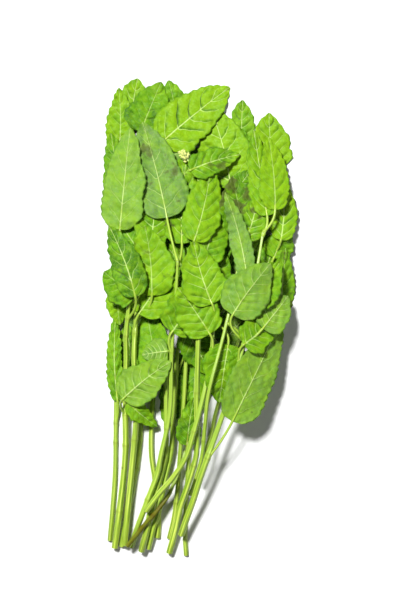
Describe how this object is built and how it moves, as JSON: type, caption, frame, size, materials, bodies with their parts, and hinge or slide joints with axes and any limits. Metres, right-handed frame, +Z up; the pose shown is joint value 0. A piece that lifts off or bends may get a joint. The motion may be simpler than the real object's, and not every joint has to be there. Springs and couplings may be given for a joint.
{
  "type": "holy basil bunch",
  "caption": "Loose bunch of cut holy basil lying flat: slim pale stems fanned and crossed over one another, broad toothed green leaves at one end and a small tuft of flower buds",
  "frame": {"origin": "under the middle of the bunch's bounding box, on the surface that it lies on", "axes": "+Z up off the surface, +Y along the stems from the cut ends towards the leaf tips, +X to the right as seen from above with the leaf tips away from the viewer"},
  "size_m": [0.1184, 0.2886, 0.0335],
  "materials": {
    "leaf": "fresh green leaf, soft sheen, pale veins",
    "stem": "pale yellow-green, lightly ribbed and satin",
    "bud": "pale yellow-green closed buds"
  },
  "bodies": {
    "root": {"leafy_stem_01": "leaf", "leafy_stem_02": "leaf", "leafy_stem_03": "leaf", "leafy_stem_04": "leaf", "leafy_stem_05": "leaf", "leafy_stem_06": "leaf", "leafy_stem_07": "leaf", "leafy_stem_08": "leaf", "leafy_stem_09": "leaf", "leafy_stem_10": "leaf", "leafy_stem_11": "leaf", "leafy_stem_12": "leaf", "leafy_stem_13": "leaf", "leafy_stem_14": "leaf", "leafy_stem_15": "leaf", "leafy_stem_16": "leaf"}
  },
  "joints": []
}
